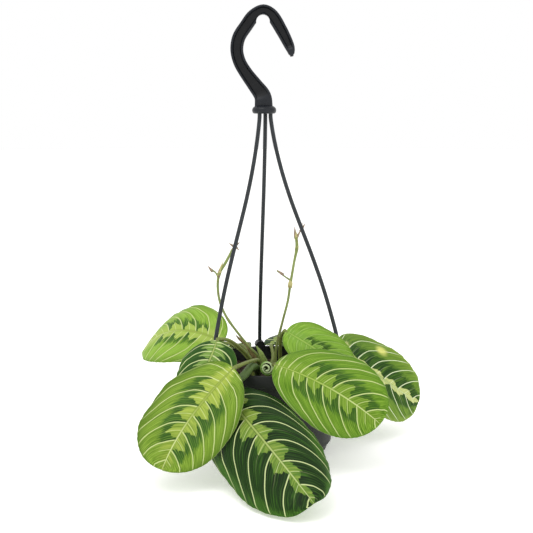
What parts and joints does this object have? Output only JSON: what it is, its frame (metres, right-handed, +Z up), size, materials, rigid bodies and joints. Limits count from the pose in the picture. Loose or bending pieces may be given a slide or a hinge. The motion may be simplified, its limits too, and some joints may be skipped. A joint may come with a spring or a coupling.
{
  "type": "potted prayer plant",
  "caption": "Maranta prayer plant with broad veined leaves in a squat black plastic hanging pot with a three-strand hanger and hook.",
  "frame": {"origin": "centre of the pot's foot, on the surface it stands on", "axes": "+Z up through the pot to the hook; -Y is the front, where the largest leaf comes down to the surface; +X to the right"},
  "size_m": [0.263, 0.2931, 0.389],
  "materials": {
    "pot_plastic": "matt black injection-moulded plastic",
    "hanger_plastic": "semi-matt dark slate plastic",
    "soil": "dark crumbly potting mix",
    "leaf_light": "satin lime-green leaf with a pale fishbone midrib and pale veins",
    "leaf_dark": "satin dark-green leaf with a pale fishbone midrib and whitish veins",
    "stem_green": "smooth olive-green stem",
    "dry_sheath": "dry papery brown sheath",
    "flower_stem": "thin olive flower stalk with brownish nodes"
  },
  "bodies": {
    "root": {"pot": "pot_plastic", "soil": "soil", "hanger_hook": "hanger_plastic", "hanger_strand_left": "hanger_plastic", "hanger_strand_right": "hanger_plastic", "hanger_strand_back": "hanger_plastic", "leaf_front_left": "leaf_light", "leaf_front": "leaf_dark", "leaf_right": "leaf_light", "leaf_upper_right": "leaf_light", "leaf_far_right": "leaf_dark", "leaf_upper_left": "leaf_light", "leaf_left": "leaf_dark", "leaf_back": "leaf_dark", "leaf_back_left": "leaf_light", "leaf_back_right": "leaf_dark", "rolled_leaf": "stem_green", "green_bract": "stem_green", "dry_bract": "dry_sheath", "flower_stalk_left": "flower_stem", "flower_stalk_right": "flower_stem"}
  },
  "joints": []
}
